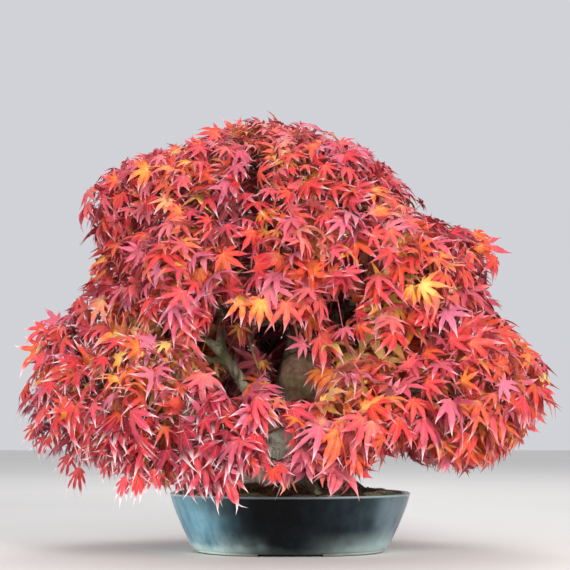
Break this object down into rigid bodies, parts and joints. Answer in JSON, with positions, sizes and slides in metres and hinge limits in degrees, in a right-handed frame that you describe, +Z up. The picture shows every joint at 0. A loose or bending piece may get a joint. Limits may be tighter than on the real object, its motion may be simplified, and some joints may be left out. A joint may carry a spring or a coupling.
{
  "type": "potted bonsai tree",
  "caption": "Broad, dense bonsai maple with finely cut red autumn leaves over a stout trunk, in a low oval glazed pot.",
  "frame": {"origin": "on the surface the pot stands on, under the middle of the crown and of the pot", "axes": "+X towards the tree's right as its front is seen, along the pot's length; +Y from the front to the back; +Z up"},
  "size_m": [0.5448, 0.4188, 0.4177],
  "materials": {
    "glaze": "glossy mottled slate-blue glaze",
    "screen": "matt black mesh",
    "soil": "damp granular soil with moss",
    "bark": "grey-olive bark with lichen",
    "leaf_scarlet": "satin scarlet leaves",
    "leaf_crimson": "satin crimson leaves",
    "leaf_orange": "satin orange leaves"
  },
  "bodies": {
    "root": {"pot": "glaze", "drain_screen_left": "screen", "drain_screen_right": "screen", "soil": "soil", "trunk_and_branches": "bark", "spray_crown_apex": "leaf_scarlet", "spray_crown_left": "leaf_crimson", "spray_crown_front_left": "leaf_crimson", "spray_crown_front_right": "leaf_scarlet", "spray_crown_right": "leaf_scarlet", "spray_crown_back_right": "leaf_scarlet", "spray_crown_back_left": "leaf_crimson", "spray_mid_right": "leaf_scarlet", "spray_mid_front_right": "leaf_scarlet", "spray_mid_front": "leaf_scarlet", "spray_mid_front_left": "leaf_crimson", "spray_mid_left": "leaf_crimson", "spray_mid_back_left": "leaf_crimson", "spray_mid_back": "leaf_scarlet", "spray_mid_back_right": "leaf_scarlet", "spray_low_right": "leaf_scarlet", "spray_low_front_right": "leaf_scarlet", "spray_low_front": "leaf_scarlet", "spray_low_front_middle": "leaf_crimson", "spray_low_front_left": "leaf_crimson", "spray_low_left": "leaf_crimson", "spray_low_back_left": "leaf_crimson", "spray_low_back_middle": "leaf_scarlet", "spray_low_back": "leaf_scarlet", "spray_low_back_right": "leaf_scarlet", "spray_inner_left": "leaf_orange", "spray_inner_right": "leaf_orange", "spray_inner_back": "leaf_orange", "spray_inner_front": "leaf_orange"}
  },
  "joints": []
}
